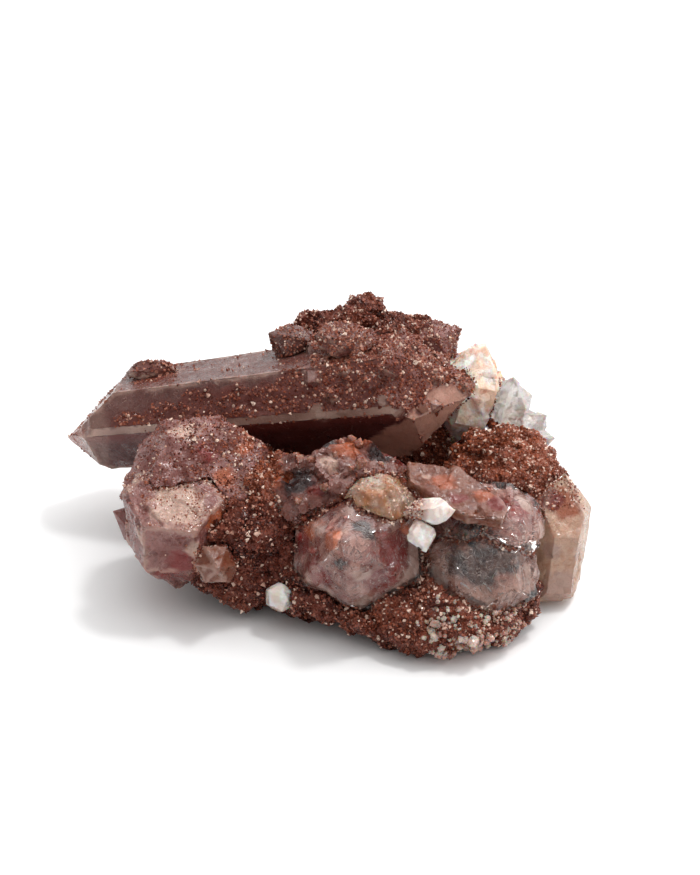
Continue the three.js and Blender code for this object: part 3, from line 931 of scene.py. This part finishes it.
# %% The matrix and the broken quartz
def remeshed(node, voxel):
    bm = cad_copy(node)
    mesh = bpy.data.meshes.new(node + "_draft")
    bm.to_mesh(mesh)
    bm.free()
    draft = new_object(node + "_draft", mesh)
    remesh = draft.modifiers.new("voxels", "REMESH")
    remesh.mode = "VOXEL"
    remesh.voxel_size = voxel * MM
    solid = draft.evaluated_get(bpy.context.evaluated_depsgraph_get())
    bm = bmesh.new()
    bm.from_mesh(solid.to_mesh())
    bpy.data.objects.remove(draft)
    return bm


def zone(places, centre, radius):
    far = np.linalg.norm(places - np.array(centre), axis=1)
    return np.exp(-((far / radius) ** 2))


def rust_at(places):
    """How orange the druse is at each place: three orange patches, two deep ones, and a random part."""
    patches = zone(places, (-9, -6, 21), 7) + 0.8 * zone(places, (31, 2, 20), 9)
    patches = patches + 0.7 * zone(places, (25, 6, 18), 8)
    deep = zone(places, (-9, -20, 11), 7) + zone(places, (5, 0, 18), 6)
    return np.clip(0.2 + patches - deep + 0.4 * wander(places, 4, 11), 0, 1)


def rough_mass(node, material, seed, voxel, broken, rough):
    """Broken is a list of slopes and sizes, rough a depth and a size. The voxel is in mm too."""
    bm = remeshed(node, voxel)
    for slope, size in broken:
        break_up(bm, slope, size, seed)
    roughen(bm, *rough, seed + 1)
    bmesh.ops.triangulate(bm, faces=bm.faces)
    piece = finish_piece(node + "_skin", bm, material, [node], sharp=35)
    places, _ = mesh_arrays(piece.data)
    store(piece.data, "rust", rust_at(places))
    return piece


rock_piece = rough_mass("matrix", ROCK, 41, 0.5, [(0.7, 3.2), (0.5, 1.4)], (0.5, 1.6))
broken_piece = rough_mass(
    "broken_quartz", BROKEN_FACE, 43, 0.28, [(0.7, 4.5), (0.4, 2)], (0.15, 2)
)
DARK_WINDOWS = [(-3.6, -12.4, 22.4, 2.9), (9.1, -7.7, 24.2, 2.4), (1.5, -5.5, 25, 1.6)]
stain(
    broken_piece,
    dark=DARK_WINDOWS,
    orange=[(-6.5, -9, 20, 3.2), (3.5, -7.5, 26, 2.6), (6, -5, 25, 2.0)],
    red=[(-1, -13.5, 21, 1.8), (12, -6, 22, 2.4)],
    pale=[(1, -11, 24.5, 1.6), (-7.5, -13.5, 17, 1.8)],
)

# %% [markdown]
# At the size of druse, a quartz crystal is only its point, so a grain is a six-sided cone. The few
# larger ones have a prism under the point, and the flakes inside the clear crystals are thin
# plates. Each shape is made once with mesh operators, and then an array of them is laid out: a
# random point on the skin, a random lean, a random size. The grains of a patch are one mesh.

# %% Grain shapes
def small_shape(sides, top, height, point=0.0, thickness=1.0):
    """Corners and faces of a cone or prism one unit wide, with a point on top, and flattened."""
    bm = bmesh.new()
    bmesh.ops.create_cone(bm, cap_ends=True, segments=sides, radius1=0.5, radius2=top, depth=height)
    if point:
        cap = max(bm.faces, key=lambda f: f.calc_center_median().z)
        bmesh.ops.poke(bm, faces=[cap])["verts"][0].co.z += point
    bmesh.ops.scale(bm, vec=(1.0, thickness, 1.0), verts=bm.verts)
    bmesh.ops.triangulate(bm, faces=bm.faces)
    bm.verts.index_update()
    corners = np.array([v.co[:] for v in bm.verts])
    faces = np.array([[v.index for v in f.verts] for f in bm.faces])
    bm.free()
    return corners, faces


GRAIN = small_shape(6, 0.0, 1.0)
SMALL_CRYSTAL = small_shape(6, 0.46, 0.9, point=0.42)
FLAKE = small_shape(7, 0.44, 0.05, thickness=0.16)
print("a grain has", len(GRAIN[1]), "triangles, a small crystal", len(SMALL_CRYSTAL[1]))

# %% Scatter grains on a skin
MOST_TRIANGLES = 190000
FLOOR_GAP = 0.02
grain_counts = []


def skin_points(mesh, spacing, random):
    """Random places in mm on a mesh, about one for each square of the spacing, and their normals."""
    mesh.calc_loop_triangles()
    corners, _ = mesh_arrays(mesh)
    triangles = np.empty(len(mesh.loop_triangles) * 3, np.int32)
    mesh.loop_triangles.foreach_get("vertices", triangles)
    a, b, c = corners[triangles.reshape(-1, 3)].transpose(1, 0, 2)
    across = np.cross(b - a, c - a)
    area = np.linalg.norm(across, axis=1) / 2
    count = int(2.2 * area.sum() / spacing**2)
    pick = random.choice(len(area), count, p=area / area.sum())
    u, v = np.sqrt(random.random(count)), random.random(count)
    places = (1 - u)[:, None] * a[pick] + (u * (1 - v))[:, None] * b[pick] + (u * v)[:, None] * c[pick]
    normals = across[pick] / (2 * area[pick])[:, None]
    cells = np.floor(places / spacing).astype(np.int64)
    _, first = np.unique(cells @ np.array((1, 1009, 1018081)), return_index=True)
    return places[first], normals[first]


def light_at(places):
    """Lighter grains: on the top crust, the ridges, the right mass, and between the front crystals."""
    spots = [(3, 10, 37, 6), (-5, 17, 34, 4), (18, 16, 32, 5), (32, -4, 20, 6), (34, 6, 15, 6)]
    spots += [(16.5, -22, 11, 4), (25, -28, 5, 6), (20, -18, 18, 4), (6, -30, 3, 3)]
    return np.clip(sum(zone(places, middle, radius) for *middle, radius in spots), 0, 1)


def grains_on(name, skin, spacing, width, amount, seed, lean=0.5, pale_and_glint_share=0.08, paler=0.0, shape=GRAIN,
              material=DRUSE):
    """Grains on a skin. amount(places, normals) gives the chance of a grain at each place."""
    random = np.random.default_rng(seed)
    places, normals = skin_points(skin.data, spacing, random)
    keep = random.random(len(places)) < amount(places, normals)
    places, normals = places[keep], normals[keep]
    order = np.argsort(places[:, 0])
    places, normals = places[order], normals[order]
    most = MOST_TRIANGLES // len(shape[1])
    shares = max(1, math.ceil(len(places) / most))
    look = (width, lean, pale_and_glint_share, paler)
    for part, chosen in enumerate(np.array_split(np.arange(len(places)), shares)):
        piece = lay_grains(f"{name}_{part + 1}", places[chosen], normals[chosen], random, look, shape)
        piece.data.materials.append(material)
    grain_counts.append(len(places))


def lay_grains(name, places, normals, random, look, shape):
    width, lean, pale_and_glint_share, paler = look
    count = len(places)
    axis = normals + lean * random.normal(size=(count, 3)) * 0.6
    axis /= np.linalg.norm(axis, axis=1)[:, None]
    side = np.cross(axis, random.normal(size=(count, 3)))
    side /= np.linalg.norm(side, axis=1)[:, None]
    other = np.cross(axis, side)
    light = light_at(places)
    # Bright grains get a near-white tint and a larger size: painted glints, and pale grains on the pale
    # crystals.
    bright = random.random(count) < pale_and_glint_share + 0.12 * light
    size = width * (0.65 + 1.0 * random.random(count) ** 3) * (1 + 0.25 * bright)
    stretch = size * (0.6 + 0.45 * random.random(count))
    corners, faces = shape
    x, y, z = corners.T
    points = places[:, None, :] + size[:, None, None] * (
        x[None, :, None] * side[:, None, :] + y[None, :, None] * other[:, None, :]
    ) + (stretch[:, None] * (z + 0.2)[None, :])[:, :, None] * axis[:, None, :]
    points[:, :, 2] = np.maximum(points[:, :, 2], FLOOR_GAP)
    mesh = bpy.data.meshes.new(name)
    indices = (faces[None] + (np.arange(count) * len(corners))[:, None, None]).astype(np.int32)
    mesh.vertices.add(count * len(corners))
    mesh.vertices.foreach_set("co", (points * MM).astype(np.float32).ravel())
    mesh.loops.add(indices.size)
    mesh.loops.foreach_set("vertex_index", indices.ravel())
    mesh.polygons.add(indices.size // 3)
    mesh.polygons.foreach_set("loop_start", np.arange(0, indices.size, 3, dtype=np.int32))
    mesh.update(calc_edges=True)
    mesh.shade_flat()
    tint = np.minimum(random.random(count) ** 1.15 * 0.8 + 0.25 * light + paler, 0.8)
    tint[bright] = 0.85 + 0.15 * random.random(bright.sum())
    store(mesh, "tint", np.repeat(tint, len(corners)))
    store(mesh, "rust", np.repeat(rust_at(places), len(corners)))
    piece = new_object(name, mesh)
    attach(piece, "root")
    print(name, count, "grains,", len(mesh.polygons), "triangles")
    return piece


# %% [markdown]
# Where two crystals meet, fine druse has grown over the joint. To find the joints, each CAD solid
# gets a search tree, and a place is near a joint when another solid is within a millimetre of it.

# %% Joints between the crystals
TREES = {
    node: BVHTree.FromPolygons([v.co for v in thing.data.vertices], [p.vertices for p in thing.data.polygons])
    for node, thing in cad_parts.items()
}


def near_joint(node, reach=1.1):
    others = [tree for other, tree in TREES.items() if other != node]

    def amount(places, normals):
        found = np.zeros(len(places))
        for row, place in enumerate(places):
            spot = Vector(place) * MM
            nearest = min((tree.find_nearest(spot, reach * MM)[3] or reach * MM for tree in others))
            found[row] = 1 - nearest / (reach * MM)
        return ease(0.05, 0.4, found + 0.45 * wander(places, 2.2, 31)) * (found > 0)

    return amount


# %% [markdown]
# The carpet is thickest on the matrix and on the crust of the long crystal. The dome crystal is
# dusted, more on its right. The left crystal has a sparkling crust on its top face alone. Pink
# crystals stand at the foot on the right, and a few clear chips lie on the middle.

# %% Druse
def on_rock(places, normals):
    return (places[:, 2] > 0.5) * ease(-0.75, -0.3, normals[:, 2])


def on_long(places, normals):
    patchy = ease(-0.35, 0.1, wander(places, 2.2, 35) + ease(-14, 0, places[:, 0]))
    return ease(0.3, 0.6, long_druse(places, normals)) * (0.3 + 0.7 * patchy)


def on_dome(places, normals):
    patches = ease(-0.15, 0.25, wander(places, 3, 21) + 0.035 * (places[:, 0] + 19))
    return (0.3 + 0.7 * patches) * (normals[:, 2] > -0.2)


def on_left_top(places, normals):
    return 0.8 * ease(0.6, 0.75, normals[:, 2]) * ease(-0.3, 0.3, wander(places, 2, 23))


def on_ridge(places, normals):
    return ease(-0.5, -0.1, wander(places, 1.5, 25))


def at_the_foot(places, normals):
    right = ease(13, 18, places[:, 0] + 2 * wander(places, 3, 27)) * ease(-22, -25, places[:, 1])
    return 0.5 * right * ease(11, 8, places[:, 2]) * (places[:, 2] > 0.8)


def on_top_of_the_middle(places, normals):
    windows = patch_cover(places, [(x, y, z, 1.3 * radius) for x, y, z, radius in DARK_WINDOWS])
    return 0.35 * (1 - windows) * ease(-0.1, 0.2, wander(places, 2, 29)) * (normals[:, 2] > 0)


def on_cream(places, normals):
    return 0.3 * (normals[:, 2] > 0.1)


def on_honey_top(places, normals):
    return 0.8 * ease(15, 18, places[:, 2] + 1.5 * wander(places, 2.5, 33))


def on_the_left(places, normals):
    return ease(15.6, 14.6, places[:, 0] + 0.8 * wander(places, 1.2, 37))


def in_the_window(*patch):
    def amount(places, normals):
        return 0.35 * patch_cover(places, [patch]) * (normals[:, 1] < -0.2)

    return amount


grains_on("druse_matrix", rock_piece, 0.42, 0.46, on_rock, 51)
grains_on("druse_long", long_piece, 0.4, 0.5, on_long, 53, pale_and_glint_share=0.07, paler=0.1)
grains_on("druse_dome", dome_piece, 0.4, 0.42, on_dome, 55, pale_and_glint_share=0.12)
grains_on("druse_left", left_piece, 0.34, 0.34, on_left_top, 57, pale_and_glint_share=0.3, paler=0.35)
grains_on("druse_ridge", ridge_piece, 0.4, 0.46, on_ridge, 59)
grains_on("druse_chip", chip_piece, 0.4, 0.42, on_ridge, 60)
grains_on("druse_cream", cream_piece, 0.4, 0.3, on_cream, 85, pale_and_glint_share=0.7, paler=0.6)
grains_on("druse_honey", right_piece, 0.4, 0.4, on_honey_top, 87, pale_and_glint_share=0.15)
grains_on(
    "foot_crystals", rock_piece, 0.8, 0.8, at_the_foot, 81, lean=0.9, shape=SMALL_CRYSTAL,
    material=PINK_CRYSTALS,
)
grains_on(
    "middle_chips", broken_piece, 1.3, 1.4, on_top_of_the_middle, 83, lean=1.6, shape=SMALL_CRYSTAL,
    material=CLEAR_CHIPS,
)
grains_on(
    "druse_white", white_pieces["upper_white_chip"], 0.36, 0.4, on_the_left, 89, pale_and_glint_share=0.3, paler=0.3
)
grains_on(
    "front_flakes", front_core, 1.5, 1.3, in_the_window(5.5, -23, 19, 4.5), 91, lean=1.4, shape=FLAKE,
    material=FLAKES,
)
grains_on(
    "smoky_flakes", smoky_core, 1.5, 1.3, in_the_window(24, -23, 12, 6), 93, lean=1.4, shape=FLAKE,
    material=FLAKES,
)
JOINED = [
    ("left_crystal", left_piece), ("front_crystal", front_piece), ("smoky_crystal", smoky_piece),
    ("right_crystal", right_piece), ("corner_crystal", corner_piece), ("broken_quartz", broken_piece),
    ("milky_quartz", milky_piece),
]
for seed, (node, skin) in enumerate(JOINED, 61):
    grains_on("joint_" + node, skin, 0.38, 0.42, near_joint(node), seed, pale_and_glint_share=0.12)
print(sum(grain_counts), "grains")

# %% [markdown]
# The floor is a plain pale sheet under soft light. A white surrounding lights all sides, and one
# large lamp from the right and behind gives the soft shadow. A small one gives glints.

# %% Floor and light
FLOOR_HALF_WIDTH = 1.5
LAMP_AIM = Vector((0, 0, 0.015))


def make_floor():
    material, recipe, skin, _ = new_material("floor")
    recipe.give(skin, Base_Color=(0.9, 0.9, 0.9, 1), Roughness=0.9)
    bm = bmesh.new()
    bmesh.ops.create_grid(bm, x_segments=1, y_segments=1, size=FLOOR_HALF_WIDTH)
    mesh = bpy.data.meshes.new("floor")
    bm.to_mesh(mesh)
    bm.free()
    mesh.materials.append(material)
    floor = new_object("floor", mesh)


def lamp(name, place, size, power):
    light = bpy.data.lights.new(name, "AREA")
    light.shape = "DISK"
    light.size = size
    light.energy = power
    made = new_object(name, light)
    made.location = place
    made.rotation_euler = (LAMP_AIM - Vector(place)).to_track_quat("-Z", "Y").to_euler()


make_floor()
lamp("window", (0.42, 0.3, 0.62), 0.8, 2.3)
lamp("glint", (0.25, 0.1, 0.7), 0.11, 1.5)

# %% [markdown]
# The room itself is brighter overhead and towards the window, and dimmer on the camera's side, as
# a real room is. Without that the faces of the crystals would all mirror the same white.

# %% The room
world = bpy.data.worlds.new("studio")
world.use_nodes = True
room = Recipe(world.node_tree)
direction = room.add("ShaderNodeTexCoord").outputs["Generated"]
towards_window = room.dot(direction, Vector((0.35, 0.45, 0.8)).normalized())
brightness = room.plus(0.36, room.times(room.ramp(towards_window, -0.1, 0.95), 1.15))
background = world.node_tree.nodes["Background"]
background.inputs["Color"].default_value = (1, 1, 1, 1)
room.feed(background.inputs["Strength"], brightness)
bpy.context.scene.world = world
bpy.context.scene.view_settings.view_transform = "Standard"
